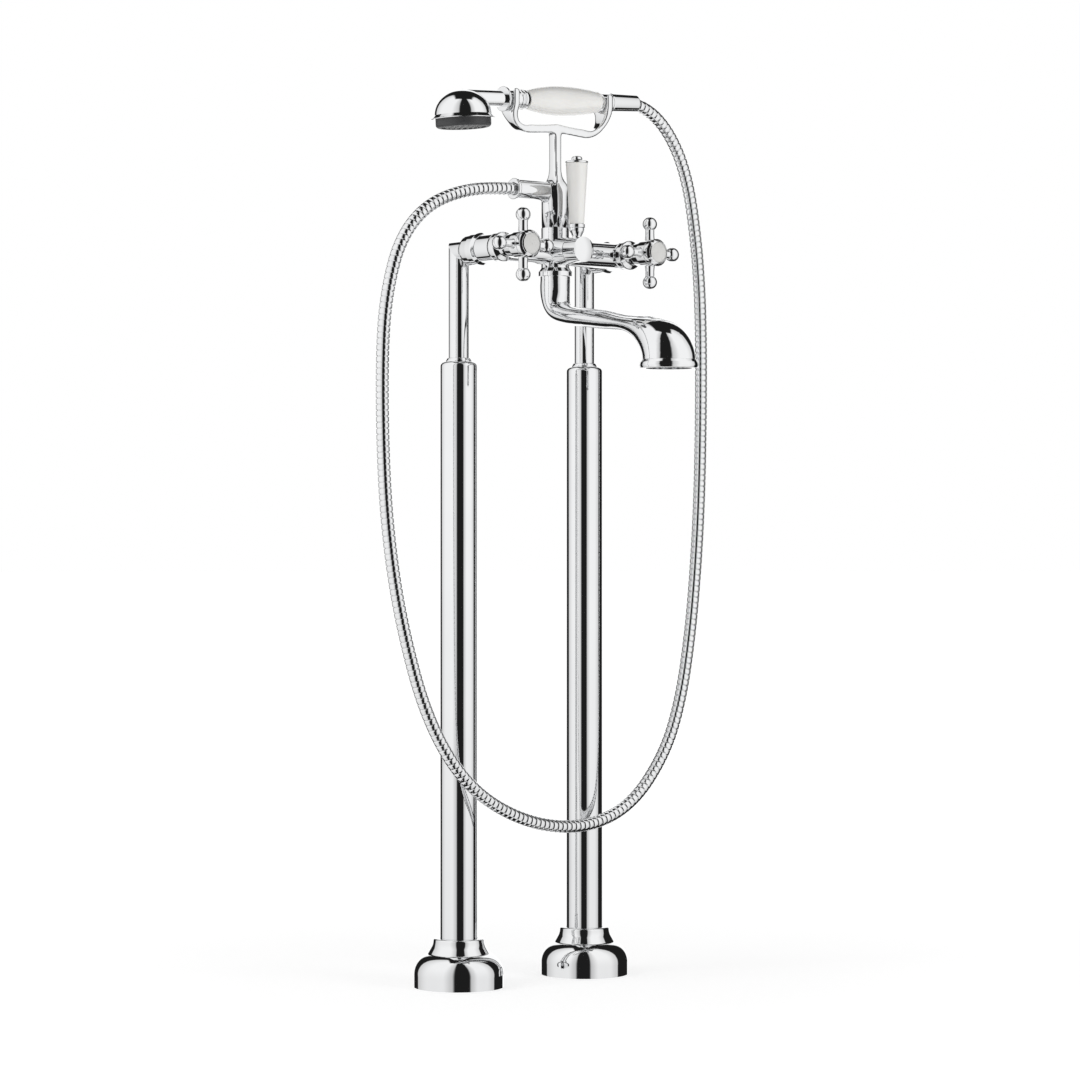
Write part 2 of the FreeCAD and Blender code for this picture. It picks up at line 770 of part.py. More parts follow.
def cradle_arm(side, centre, lip):
    """Arm and fork: a side profile crossed with a front profile."""
    wide = ferrule_radius + loose + fork_wall
    top = fork_axis(centre) + lip
    side_face = Part.Face(fork_profile(side, centre, top))
    side_face.translate(vector(0, -wide, 0))
    block = side_face.extrude(vector(0, 2 * wide, 0))
    front_face = Part.Face(fork_front(centre, top))
    fork = block.common(front_face.extrude(vector(4 * fork_length, 0, 0)))
    start = min(0, centre - side * fork_length)
    end = max(0, centre - side * fork_length)
    band = block.common(box_between(vector(start, riser_y - stem_depth / 2, arm_low_under - 5),
                                    vector(end, riser_y + stem_depth / 2, top)))
    return fork.fuse(band)


def fork_gaps():
    """What the two forks leave free: the ferrules and their way up and out."""
    gap = ferrule_radius + loose
    tilt = math.radians(handset_tilt)
    along = vector(math.cos(tilt), 0, math.sin(tilt))
    gaps = []
    for centre in (fork_left, fork_right):
        axis = fork_axis(centre)
        start = vector(centre, riser_y, axis) - along * fork_length
        gaps.append(Part.makeCylinder(gap, 2 * fork_length, start, along))
        gaps.append(box_between(vector(centre - fork_length, riser_y - gap, axis),
                                vector(centre + fork_length, riser_y + gap, axis + 2 * ferrule_radius)))
    return gaps


def riser_cradle():
    """Riser that slims through an ogee to a flat stem and spreads into the cradle."""
    half = stem_width / 2
    depth = stem_depth / 2
    top = arm_under + 3

    def ogee(start_z, end_z, slim):
        """Face that is wide below and slim above, with an S curve on each side."""
        drop = (riser_radius - slim) / 2
        rise = (end_z - start_z) / 2
        bend = 2 * math.atan(drop / rise)
        radius = rise / math.sin(bend)
        quarter_in = radius * (1 - math.cos(bend / 2))
        quarter_up = radius * math.sin(bend / 2)
        edges = [Part.LineSegment(vector(-riser_radius, 0, body_top), vector(riser_radius, 0, body_top)),
                 Part.LineSegment(vector(slim, 0, top), vector(-slim, 0, top))]
        for sign in (1, -1):
            turn = vector(sign * (riser_radius - drop), 0, start_z + rise)
            edges += [
                Part.LineSegment(vector(sign * riser_radius, 0, body_top),
                                 vector(sign * riser_radius, 0, start_z)),
                Part.Arc(vector(sign * riser_radius, 0, start_z),
                         vector(sign * (riser_radius - quarter_in), 0, start_z + quarter_up), turn),
                Part.Arc(turn, vector(sign * (slim + quarter_in), 0, end_z - quarter_up),
                         vector(sign * slim, 0, end_z)),
                Part.LineSegment(vector(sign * slim, 0, end_z), vector(sign * slim, 0, top))]
        ordered = Part.sortEdges([edge.toShape() for edge in edges])
        return Part.Face(Part.Wire(ordered[0]))

    width_face = ogee(riser_shoulder, stem_start, half)
    width_face.translate(vector(0, riser_y - riser_radius, 0))
    seen_wide = width_face.extrude(vector(0, 2 * riser_radius, 0))
    depth_face = ogee(riser_shoulder + 4, stem_start + 8, depth)
    depth_face.rotate(ORIGIN, UP, 90)
    depth_face.translate(vector(-riser_radius, riser_y, 0))
    seen_deep = depth_face.extrude(vector(2 * riser_radius, 0, 0))
    round_bar = disc(riser_radius, body_top, top, vector(0, riser_y, 0))
    stem = round_bar.common(seen_wide).common(seen_deep)

    spigot = disc(riser_socket - sliding, body_top - riser_socket_depth + 1, body_top,
                  vector(0, riser_y, 0))
    outlet = on_riser(0, outlet_height)
    boss = disc(nut_radius, 0, outlet_face, outlet, LEFT)
    nipple = disc(nipple_radius, 0, outlet_face + nipple_length, outlet, LEFT)
    arms = [cradle_arm(-1, fork_left, fork_lip_left), cradle_arm(1, fork_right, fork_lip_right)]
    body = fused(stem, spigot, boss, *arms)
    spot = disc(nut_rim + loose, outlet_face, 2 * riser_radius, outlet, LEFT)
    body = fused(body.cut(spot), nipple)
    bore_up = disc(riser_bore, body_top - riser_socket_depth, outlet_height, vector(0, riser_y, 0))
    bore_out = disc(core_bore, 0, outlet_face + nipple_length, outlet, LEFT)
    return body.cut([bore_up, bore_out] + fork_gaps())


def hose_nut():
    """Sleeve nut on the outlet nipple, with a rolled rim at its mouth."""
    start = outlet_face + sliding
    end = outlet_face + nut_length
    bore = hose_radius + 2 * sliding
    return turned([(bore, start), (nut_radius - 0.4, start), (nut_radius, start + 1),
                   (nut_radius, end - 4), (nut_rim, end - 3, 0.4), (nut_rim, end, 1.2),
                   (bore, end)], on_riser(0, outlet_height), LEFT)


def build_riser():
    parts["riser_cradle"] = riser_cradle()
    parts["hose_nut"] = hose_nut()
    washer_start = outlet_face + nipple_length
    parts["hose_washer"] = disc(hose_radius, washer_start, -hose_route[0][0],
                                on_riser(0, outlet_height), LEFT, bore=core_bore)


# -------------------------------------------------------------------- hose
def hose_points():
    """Corners of the route, drawn out so that its ends meet outlet and hand shower."""
    low = min(z for x, z in hose_route)
    turn = [z for x, z in hose_route].index(low)
    first = (outlet_height - low) / (hose_route[0][1] - low)
    last_x = hose_route[-1][0]
    last_z = handset_height + last_x * math.tan(math.radians(handset_tilt))
    last = (last_z - low) / (hose_route[-1][1] - low)
    points = []
    for i, (x, z) in enumerate(hose_route):
        points.append(on_riser(x, low + (z - low) * (first if i < turn else last)))
    for i in (-2, -1):
        rise = points[i].x * math.tan(math.radians(handset_tilt))
        points[i] = on_riser(points[i].x, handset_height + rise)
    return points


def hose_path():
    """Straight runs joined by the largest tangent arcs that both runs allow."""
    points = hose_points()
    edges = []
    start = points[0]
    radii = []
    for before, corner, after in zip(points, points[1:], points[2:]):
        shorter = min(before.distanceToPoint(corner), corner.distanceToPoint(after))
        turn = (corner - before).getAngle(after - corner)
        radius = 0.45 * shorter / math.tan(turn / 2)
        radii.append(radius)
        first, middle, last = corner_arc(before, corner, after, radius)
        edges.append(Part.LineSegment(start, first).toShape())
        edges.append(Part.Arc(first, middle, last).toShape())
        start = last
    edges.append(Part.LineSegment(start, points[-1]).toShape())
    return Part.Wire(edges), radii


def hose_circle(path, distance, radius):
    """Circle square to the route, a given distance along it."""
    for edge in path.Edges:
        if distance <= edge.Length:
            break
        distance -= edge.Length
    mark = edge.getParameterByLength(min(distance, edge.Length))
    circle = Part.Circle(edge.valueAt(mark), edge.tangentAt(mark), radius)
    circle.XAxis = vector(0, 1, 0)
    return Part.Wire(circle.toShape())


def ribbed_hose(path):
    """Ribbed outer skin through four circles a rib, a plain bore and two end rings."""
    pitch = path.Length / hose_ribs
    root = hose_radius - rib_depth
    rings = []
    for i in range(hose_ribs):
        for share, radius in ((0, root), (0.2, hose_radius), (0.65, hose_radius), (0.85, root)):
            rings.append(hose_circle(path, pitch * (i + share), radius))
    rings.append(hose_circle(path, path.Length, root))
    ends = [hose_circle(path, distance, hose_bore) for distance in (0, path.Length)]
    faces = Part.makeLoft(rings, False, True).Faces
    faces += path.makePipeShell([ends[0]], False, False).Faces
    faces += [Part.Face([rings[0], ends[0]]), Part.Face([rings[-1], ends[1]])]
    skin = Part.makeShell(faces)
    skin.sewShape()
    solid = Part.Solid(skin)
    solid.fix(1e-4, 1e-4, 1e-3)
    return solid


def build_hose():
    path, radii = hose_path()
    solid = ribbed_hose(path)
    parts["shower_hose"] = solid
    root = hose_radius - rib_depth
    expected = math.pi * (0.65 * hose_radius ** 2 + 0.35 * root ** 2 - hose_bore ** 2) * path.Length
    print("hose length %.0f mm, bend radii %s" % (path.Length, [round(r) for r in radii]))
    print("hose volume over section times length %.3f" % (solid.Volume / expected))


# -------------------------------------------------------------- hand shower
def in_hand(shape):
    """Put a piece made along +X in the hand shower's own, tilted place."""
    placed = shape.copy()
    turn = FreeCAD.Rotation(vector(0, 1, 0), -handset_tilt)
    placed.Placement = FreeCAD.Placement(on_riser(0, handset_height), turn).multiply(placed.Placement)
    return placed


def shower_head():
    """Domed shell and the neck that leaves it, hollow."""
    axis = vector(head_centre, 0, 0)

    def shell(radius, top, base):
        edges = [Part.LineSegment(vector(0, 0, base), vector(radius, 0, base)),
                 dome(radius, head_base, top - head_base),
                 Part.LineSegment(vector(0, 0, top), vector(0, 0, base))]
        if base < head_base:
            edges.insert(1, Part.LineSegment(vector(radius, 0, base), vector(radius, 0, head_base)))
        wire = Part.Wire([item.toShape() for item in edges])
        return aimed(Part.Face(wire).revolve(ORIGIN, UP, 360), axis, UP)

    length = collar_at - head_centre
    neck = disc(shower_neck, 0, length, axis, RIGHT)
    outside = shell(head_radius, head_crown, head_base)
    inside = shell(head_radius - head_wall, head_crown - head_wall, head_base - 1)
    bore = disc(core_radius + sliding, 0, length, axis, RIGHT)
    return outside.fuse(neck).cut([inside, bore])


def head_ring():
    """Flared ring that closes the dome and carries the spray face."""
    lip = head_base - head_lip_drop
    inner = head_radius - head_wall - 2
    return turned([(inner, head_base - 2), (inner, head_base), (head_radius, head_base),
                   (head_lip - 0.6, lip + 1.2, 1.5), (head_lip, lip + 0.8, 0.3), (head_lip, lip, 0.3),
                   (spray_radius - 2, lip), (spray_radius - 2, head_base - 2)],
                  vector(head_centre, 0, 0))


def spray_plate():
    top = head_base - head_lip_drop
    face = top - spray_depth
    return turned([(0, face + 1.2), (spray_radius - 6, face + 1.2), (spray_radius - 6, face, 0.4),
                   (spray_radius, face, 3.4), (spray_radius, top), (spray_radius - 2 - sliding, top),
                   (spray_radius - 2 - sliding, head_base - 2), (spray_radius - 5, head_base - 2),
                   (spray_radius - 5, top - 3), (0, top - 3)], vector(head_centre, 0, 0))


def porcelain_handle():
    start = ferrule_end
    belly = (start + porcelain_end) / 2 - 2
    late = porcelain_end - 5
    edges = [
        Part.LineSegment(vector(porcelain_bore, 0, start), vector(porcelain_left, 0, start)),
        Part.Arc(vector(porcelain_left, 0, start),
                 vector(porcelain_left + 0.78 * (porcelain_waist - porcelain_left), 0,
                        (start + belly) / 2), vector(porcelain_waist, 0, belly)),
        Part.Arc(vector(porcelain_waist, 0, belly),
                 vector(porcelain_right + 0.73 * (porcelain_waist - porcelain_right), 0,
                        (belly + late) / 2), vector(porcelain_right, 0, late)),
        Part.Arc(vector(porcelain_right, 0, late),
                 vector(porcelain_right - 0.8, 0, (late + porcelain_end) / 2 + 0.9),
                 vector(porcelain_right - 3, 0, porcelain_end)),
        Part.LineSegment(vector(porcelain_right - 3, 0, porcelain_end),
                         vector(porcelain_bore, 0, porcelain_end)),
        Part.LineSegment(vector(porcelain_bore, 0, porcelain_end),
                         vector(porcelain_bore, 0, start))]
    wire = Part.Wire([edge.toShape() for edge in edges])
    return aimed(Part.Face(wire).revolve(ORIGIN, UP, 360), ORIGIN, RIGHT)


def front_ferrule():
    bore = core_radius + running
    start = collar_at
    disc_end = start + collar_width
    bead = ferrule_end - 12
    return turned([(bore, start), (collar_radius, start, 0.8), (collar_radius, disc_end, 0.8),
                   (ferrule_radius, disc_end), (ferrule_radius, bead), (bead_radius, bead + 0.8, 0.4),
                   (bead_radius, bead + 2.6, 0.4), (ferrule_radius - 0.6, bead + 3.4),
                   (ferrule_radius - 0.6, bead + 4.4), (bead_radius, bead + 5.2, 0.5),
                   (bead_radius, bead + 7.6, 1.2), (porcelain_left - 0.5, ferrule_end),
                   (bore, ferrule_end)], ORIGIN, RIGHT)


def rear_ferrule():
    bore = core_radius + running
    start = porcelain_end
    return turned([(bore, start), (rear_neck, start), (rear_neck, start + 1.2),
                   (ferrule_radius, start + 2.2, 0.5), (ferrule_radius, rear_end), (bore, rear_end)],
                  ORIGIN, RIGHT)


def hose_cone():
    """Tapered sleeve nut between the hand shower and its hose."""
    hose_end = hose_route[-1][0] / math.cos(math.radians(handset_tilt)) - loose
    socket = hose_radius + 2 * loose
    start = rear_end
    return turned([(core_radius + running, start), (cone_left - 0.5, start), (cone_left, start + 1.2),
                   (cone_right, cone_end, 1.6), (socket, cone_end), (socket, hose_end),
                   (core_bore, hose_end), (core_bore, start + cone_grip),
                   (core_radius + running, start + cone_grip)],
                  ORIGIN, RIGHT)


def build_handset():
    parts["shower_head"] = in_hand(shower_head())
    parts["head_ring"] = in_hand(head_ring())
    parts["spray_plate"] = in_hand(spray_plate())
    parts["handset_grip"] = in_hand(porcelain_handle())
    parts["front_ferrule"] = in_hand(front_ferrule())
    parts["rear_ferrule"] = in_hand(rear_ferrule())
    parts["hose_cone"] = in_hand(hose_cone())
    parts["handset_core"] = in_hand(disc(core_radius, collar_at - core_tail,
                                         rear_end + cone_grip - sliding,
                                         ORIGIN, RIGHT, bore=core_bore))


# -------------------------------------------------------------------- spout
def station_ring(under, over, half_width, inset=0):
    """Elliptic ring across the spout between a low and a high point."""
    low = vector(0, under[0], under[1])
    high = vector(0, over[0], over[1])
    centre = (low + high) * 0.5
    rise = (high - low).normalize()
    half_height = high.distanceToPoint(low) / 2 - inset
    width = half_width - inset
    count = 24
    points = []
    for i in range(count):
        angle = 2 * math.pi * i / count
        points.append(centre + rise * (half_height * math.cos(angle)) + RIGHT * (width * math.sin(angle)))
    curve = Part.BSplineCurve()
    curve.interpolate(Points=points, PeriodicFlag=True)
    return Part.Wire(curve.toShape())


def smooth(points, marks, start, end):
    """Curve through the points at given marks, leaving and arriving in set directions."""
    curve = Part.BSplineCurve()
    first = (points[1] - points[0]).Length / (marks[1] - marks[0])
    last = (points[-1] - points[-2]).Length / (marks[-1] - marks[-2])
    curve.interpolate(Points=points, Parameters=marks, InitialTangent=start * first,
                      FinalTangent=end * last, Scale=False)
    return curve


def spout_rings(inset):
    """Evenly spaced rings along the spout, faired through its stations."""
    down = UP * -1
    stations = [((riser_y + spout_neck, spout_seam), (riser_y - spout_neck, spout_seam), spout_neck)]
    for low_y, low_z, high_y, high_z, width in spout_stations:
        stations.append(((riser_y - low_y * spout_reach, spout_seam - low_z * spout_drop),
                         (riser_y - high_y * spout_reach, spout_seam - high_z * spout_drop),
                         width * mouth_radius))
    stations.append(((mouth_y + mouth_radius, mouth_top), (mouth_y - mouth_radius, mouth_top),
                     mouth_radius))
    under = [vector(0, station[0][0], station[0][1]) for station in stations]
    over = [vector(0, station[1][0], station[1][1]) for station in stations]
    marks = [0.0]
    for i in range(1, len(stations)):
        step = (under[i] - under[i - 1]).Length + (over[i] - over[i - 1]).Length
        marks.append(marks[-1] + step / 2)
    width = [vector(mark, 0, station[2]) for mark, station in zip(marks, stations)]
    under_line = smooth(under, marks, down, down)
    over_line = smooth(over, marks, down, down)
    width_line = smooth(width, marks, RIGHT, RIGHT)
    rings = []
    for i in range(spout_ring_count + 1):
        mark = marks[-1] * i / spout_ring_count
        low = under_line.value(mark)
        high = over_line.value(mark)
        rings.append(station_ring((low.y, low.z), (high.y, high.z), width_line.value(mark).z, inset))
    return rings


def spout_tube():
    """Hollow sweep of the spout: outer and inner skins closed by a ring at each end."""
    outer = spout_rings(0)
    inner = spout_rings(spout_wall)
    faces = Part.makeLoft(outer, False, False).Faces + Part.makeLoft(inner, False, False).Faces
    for i in (0, -1):
        faces.append(Part.Face([outer[i], inner[i]]))
    skin = Part.makeShell(faces)
    skin.sewShape()
    solid = Part.Solid(skin)
    solid.fix(1e-4, 1e-4, 1e-3)
    return solid


def spout():
    """Swan spout: round neck, flat run and a hood that opens downwards."""
    neck = vector(0, riser_y, 0)
    tube = spout_tube()
    spigot_radius = neck_bore - running
    top = spout_seam + spout_spigot
    groove = seal_thickness + sliding
    deep = spigot_radius - seal_thickness
    cover = turned([(spout_waterway, spout_seam - 2), (spout_neck - 0.8, spout_seam - 2),
                    (spout_neck - 0.8, spout_seam), (spigot_radius, spout_seam),
                    (spigot_radius, top - 2 * groove - 4), (deep, top - 2 * groove - 4),
                    (deep, top - groove - 4), (spigot_radius, top - groove - 4),
                    (spigot_radius, top - groove - 2), (deep, top - groove - 2), (deep, top - 2),
                    (spigot_radius, top - 2), (spigot_radius, top), (spout_waterway, top)], neck)
    return fused(tube, cover)


def spout_lip():
    """Rolled outlet ring under the hood, bored from below and stepped for the grid."""
    seat = grid_radius + sliding
    return turned([(mouth_bore, mouth_bottom), (lip_radius - 1, mouth_bottom, 1),
                   (lip_radius, mouth_bottom + 3, 2), (lip_radius - 0.6, mouth_top - 3, 2),
                   (mouth_radius + 0.7, mouth_top, 0.5), (seat, mouth_top), (seat, grid_height),
                   (mouth_bore, grid_height)], vector(0, mouth_y, 0))


def spout_seals():
    groove = seal_thickness + sliding
    top = spout_seam + spout_spigot
    ring = neck_bore - running - seal_thickness / 2
    seals = []
    for height in (top - 2 - groove / 2, top - groove - 4 - groove / 2):
        seals.append(Part.makeTorus(ring, seal_thickness / 2 - running, vector(0, riser_y, height)))
    return Part.makeCompound(seals)


def flow_grid():
    """Flow straightener with rows of holes, seated inside the mouth."""
    body = disc(grid_radius, grid_height, grid_height + grid_thickness, vector(0, mouth_y, 0))
    holes = []
    rows = int(grid_radius / grid_pitch)
    for i in range(-rows, rows + 1):
        for j in range(-rows, rows + 1):
            x = (i + 0.5 * (j % 2)) * grid_pitch
            y = j * grid_pitch * math.sqrt(0.75)
            if math.hypot(x, y) < grid_radius - 2 * grid_hole:
                holes.append(Part.makeCylinder(grid_hole, grid_thickness,
                                               vector(x, mouth_y + y, grid_height)))
    return body.cut(holes)


def build_spout():
    parts["spout"] = spout()
    parts["spout_lip"] = spout_lip()
    parts["spout_seals"] = spout_seals()
    parts["flow_grid"] = flow_grid()
    bore = neck_radius + sliding
    low = spout_seam + loose
    parts["neck_collar"] = turned([(bore, body_bottom), (bore, collar_ring_top), (bore + 0.2, collar_ring_top),
                                   (collar_ring_radius, collar_ring_top - 4, 0.6),
                                   (collar_ring_radius, low), (neck_bore + loose, low),
                                   (neck_bore + loose, body_bottom)], vector(0, riser_y, 0))


# ------------------------------------------------------------------- output
build_standpipes()
build_mixer()
build_handles()
build_diverter()
build_riser()
build_hose()
build_handset()
build_spout()

os.makedirs("parts", exist_ok=True)
for name, shape in parts.items():
    if not shape.isValid():
        print("not valid:", name)
    shape.exportStep("parts/" + name + ".step")
print(len(parts), "nodes,", sum(len(shape.Solids) for shape in parts.values()), "solids")
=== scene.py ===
import bpy
import bmesh
import json
import math
from mathutils import Matrix, Vector


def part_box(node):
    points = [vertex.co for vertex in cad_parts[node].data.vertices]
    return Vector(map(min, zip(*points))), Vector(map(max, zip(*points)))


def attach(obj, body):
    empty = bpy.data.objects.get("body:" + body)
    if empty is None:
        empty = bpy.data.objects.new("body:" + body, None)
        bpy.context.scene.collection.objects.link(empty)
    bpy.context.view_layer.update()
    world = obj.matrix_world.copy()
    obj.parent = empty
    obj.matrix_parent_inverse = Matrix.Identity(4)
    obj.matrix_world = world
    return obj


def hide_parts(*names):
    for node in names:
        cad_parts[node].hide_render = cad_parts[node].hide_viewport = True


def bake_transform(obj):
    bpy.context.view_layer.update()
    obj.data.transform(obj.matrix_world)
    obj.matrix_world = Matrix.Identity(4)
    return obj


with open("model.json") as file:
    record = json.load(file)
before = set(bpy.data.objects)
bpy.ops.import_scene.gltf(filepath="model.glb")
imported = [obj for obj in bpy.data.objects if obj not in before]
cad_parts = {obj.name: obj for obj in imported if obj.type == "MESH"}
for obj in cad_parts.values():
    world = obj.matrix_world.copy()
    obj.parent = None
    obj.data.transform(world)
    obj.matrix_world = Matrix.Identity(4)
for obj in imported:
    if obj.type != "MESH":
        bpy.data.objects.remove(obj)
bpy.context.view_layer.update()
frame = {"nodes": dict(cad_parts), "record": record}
nodes = frame["nodes"]

# How far the camera stands round to the object's left, in degrees.
CAMERA_TURN = 38.4


# ---------------------------------------------------------------- the camera
def set_camera():
    """Long lens, level with the middle of the standpipes."""
    lens = bpy.data.cameras.new("camera")
    lens.lens = 110
    lens.sensor_width = 36
    lens.clip_end = 50
    camera = bpy.data.objects.new("camera", lens)
    camera.location = (-2.2224, -2.8346, 0.480)
    camera.rotation_euler = (math.radians(90), 0, math.radians(-CAMERA_TURN))
    bpy.context.collection.objects.link(camera)
    bpy.context.scene.camera = camera


# -------------------------------------------------------------- mesh basics
def mesh_object(name, mesh, material=None):
    """Turns a bmesh into an object that stands at the origin."""
    data = bpy.data.meshes.new(name)
    mesh.to_mesh(data)
    mesh.free()
    if material:
        data.materials.append(material)
    piece = bpy.data.objects.new(name, data)
    bpy.context.collection.objects.link(piece)
    return piece


def applied_mesh(piece):
    """Mesh of a piece or a curve, with its modifiers applied."""
    depsgraph = bpy.context.evaluated_depsgraph_get()
    return bpy.data.meshes.new_from_object(piece.evaluated_get(depsgraph))


def smooth_outward(mesh):
    """Smooth faces whose normals point outward."""
    bmesh.ops.recalc_face_normals(mesh, faces=mesh.faces)
    for face in mesh.faces:
        face.smooth = True


def finished_piece(name, mesh, body, material, sharp=35):
    """Turns a bmesh into a piece that rides on a body; edges over sharp degrees stay crisp."""
    smooth_outward(mesh)
    piece = mesh_object(name, mesh, material)
    piece.data.set_sharp_from_angle(angle=math.radians(sharp))
    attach(piece, body)
    return piece


# ------------------------------------------------------------ material basics
def new_material(name):
    """A node material, its node tree, its Principled shader and Object coordinates."""
    material = bpy.data.materials.new(name)
    material.use_nodes = True
    tree = material.node_tree
    shader = tree.nodes["Principled BSDF"]
    place = tree.nodes.new("ShaderNodeTexCoord")
    return material, tree, shader, place.outputs["Object"]


def noise(tree, place, scale, detail, stretch=(1, 1, 1)):
    """Fine noise over the piece, stretched for turned marks."""
    mapping = tree.nodes.new("ShaderNodeMapping")
    mapping.inputs["Scale"].default_value = stretch
    tree.links.new(place, mapping.inputs["Vector"])
    texture = tree.nodes.new("ShaderNodeTexNoise")
    texture.inputs["Scale"].default_value = scale
    texture.inputs["Detail"].default_value = detail
    tree.links.new(mapping.outputs["Vector"], texture.inputs["Vector"])
    return texture.outputs["Fac"]


def ramp(tree, value, low, high):
    """Turns the middle range of a noise into a number between low and high."""
    change = tree.nodes.new("ShaderNodeMapRange")
    change.inputs["From Min"].default_value = 0.3
    change.inputs["From Max"].default_value = 0.7
    change.inputs["To Min"].default_value = low
    change.inputs["To Max"].default_value = high
    tree.links.new(value, change.inputs["Value"])
    return change.outputs["Result"]


def colour(tree, shader, cloud, dark, light):
    """Base colour that drifts between two shades."""
    mix = tree.nodes.new("ShaderNodeMix")
    mix.data_type = "RGBA"
    mix.inputs["A"].default_value = (*dark, 1)
    mix.inputs["B"].default_value = (*light, 1)
    tree.links.new(ramp(tree, cloud, 0, 1), mix.inputs["Factor"])
    tree.links.new(mix.outputs["Result"], shader.inputs["Base Color"])


def gloss(tree, shader, marks, low, high):
    """Roughness that drifts between two values."""
    tree.links.new(ramp(tree, marks, low, high), shader.inputs["Roughness"])


def bump(tree, shader, height, strength, distance):
    """Surface relief from a height value."""
    relief = tree.nodes.new("ShaderNodeBump")
    relief.inputs["Strength"].default_value = strength
    relief.inputs["Distance"].default_value = distance
    tree.links.new(height, relief.inputs["Height"])
    tree.links.new(relief.outputs["Normal"], shader.inputs["Normal"])


# ----------------------------------------------------------------- finishes
def polished_chrome():
    """Bright plating with faint wipe marks."""
    material, tree, shader, place = new_material("polished_chrome")
    shader.inputs["Metallic"].default_value = 1
    wipe = noise(tree, place, 14, 4)
    grain = noise(tree, place, 420, 2)
    colour(tree, shader, wipe, (0.845, 0.85, 0.86), (0.875, 0.88, 0.885))
    gloss(tree, shader, wipe, 0.025, 0.05)
    bump(tree, shader, grain, 0.04, 0.00005)
    return material


def ribbed_chrome():
    """Plating of the hose, a little duller and more worn."""
    material, tree, shader, place = new_material("ribbed_chrome")
    shader.inputs["Metallic"].default_value = 1
    wipe = noise(tree, place, 60, 4)
    grain = noise(tree, place, 900, 2)
    colour(tree, shader, wipe, (0.82, 0.825, 0.835), (0.87, 0.875, 0.88))
    gloss(tree, shader, wipe, 0.05, 0.1)
    bump(tree, shader, grain, 0.05, 0.00005)
    return material


def glazed_porcelain():
    """White porcelain under a clear glaze."""
    material, tree, shader, place = new_material("glazed_porcelain")
    cloud = noise(tree, place, 28, 5)
    speck = noise(tree, place, 1400, 2)
    ripple = noise(tree, place, 90, 2)
    colour(tree, shader, cloud, (0.70, 0.693, 0.672), (0.735, 0.73, 0.715))
    gloss(tree, shader, speck, 0.16, 0.26)
    shader.inputs["Subsurface Weight"].default_value = 0.06
    shader.inputs["Subsurface Radius"].default_value = (0.004, 0.003, 0.002)
    shader.inputs["Coat Weight"].default_value = 0.35
    shader.inputs["Coat Roughness"].default_value = 0.08
    bump(tree, shader, ripple, 0.03, 0.0001)
    return material


def turned_metal(name, dark, light, roughness):
    """Bare machined metal with fine tool marks round its upright axis."""
    material, tree, shader, place = new_material(name)
    shader.inputs["Metallic"].default_value = 1
    cloud = noise(tree, place, 40, 4)
    marks = noise(tree, place, 160, 3, (1, 1, 24))
    colour(tree, shader, cloud, dark, light)
    gloss(tree, shader, marks, roughness * 0.75, roughness * 1.25)
    bump(tree, shader, marks, 0.15, 0.0001)
    return material


def moulded(name, dark, light, roughness, grain_scale, relief):
    """Moulded plastic, rubber, enamel or pressed ceramic with a fine even grain."""
    material, tree, shader, place = new_material(name)
    cloud = noise(tree, place, 50, 4)
    grain = noise(tree, place, grain_scale, 3)
    colour(tree, shader, cloud, dark, light)
    gloss(tree, shader, grain, roughness * 0.85, roughness * 1.15)
    bump(tree, shader, grain, relief, 0.0001)
    return material


def make_finishes():
    """One finish for each slot, and two for pieces that share a slot."""
    return {
        "chrome": polished_chrome(),
        "hose": ribbed_chrome(),
        "porcelain": glazed_porcelain(),
        "brass": turned_metal("machined_brass", (0.66, 0.48, 0.22), (0.74, 0.56, 0.28), 0.3),
        "steel": turned_metal("turned_steel", (0.55, 0.56, 0.57), (0.64, 0.65, 0.66), 0.26),
        "rubber": moulded("seal_rubber", (0.03, 0.03, 0.032), (0.05, 0.05, 0.052), 0.7, 900, 0.2),
        "plastic": moulded("cage_plastic", (0.68, 0.68, 0.65), (0.76, 0.76, 0.73), 0.45, 1200, 0.1),
        "alumina": moulded("lapped_alumina", (0.86, 0.85, 0.8), (0.9, 0.89, 0.85), 0.25, 1600, 0.05),
        "spray": moulded("spray_face", (0.026, 0.026, 0.028), (0.04, 0.04, 0.042), 0.5, 700, 0.15),
        "nozzle": moulded("nozzle_rubber", (0.2, 0.2, 0.2), (0.26, 0.26, 0.26), 0.55, 900, 0.1),
        "index": moulded("index_enamel", (0.53, 0.528, 0.515), (0.58, 0.578, 0.565), 0.22, 500, 0.04),
    }


def dress_nodes(finishes):
    """Every CAD node gets the finish of its slot, and the index discs get theirs."""
    for part in frame["record"]["subparts"]:
        piece = nodes[part["node"]]
        finish = finishes[part["material_slot"]]
        if not piece.material_slots:
            piece.data.materials.append(None)
        for place in piece.material_slots:
            place.link = "OBJECT"
            place.material = finish
    for side in ("left", "right"):
        for place in nodes["index_disc_" + side].material_slots:
            place.material = finishes["index"]


# ---------------------------------------------------------------- the hose
# Corners of the route from the outlet to the hand shower: across and height in millimetres.
HOSE_ROUTE = [
    (-34, 855), (-78, 855), (-128, 848.5), (-174, 829), (-206, 793), (-222, 743), (-229, 688),
    (-229, 588), (-223, 492), (-206, 396), (-171, 289), (-117, 217), (-41, 177), (40, 166.5),
    (107, 188), (156, 244), (179, 304), (192, 373), (200, 441), (206, 524), (208.5, 618),
    (208.5, 725), (204, 790), (198, 832), (191.5, 866), (183, 892), (173.5, 912), (159.5, 932),
    (143.5, 946.5), (127.5, 955), (112, 959), (97, 958.5)]
# The hose, the riser and the hand shower share this upright plane; its distance forward.
HOSE_PLANE = -0.057
HOSE_RADIUS = 0.0068
GROOVE_DEPTH = 0.0012
RIB_ROUNDING = 0.0001
RIB_PITCH = 0.0062


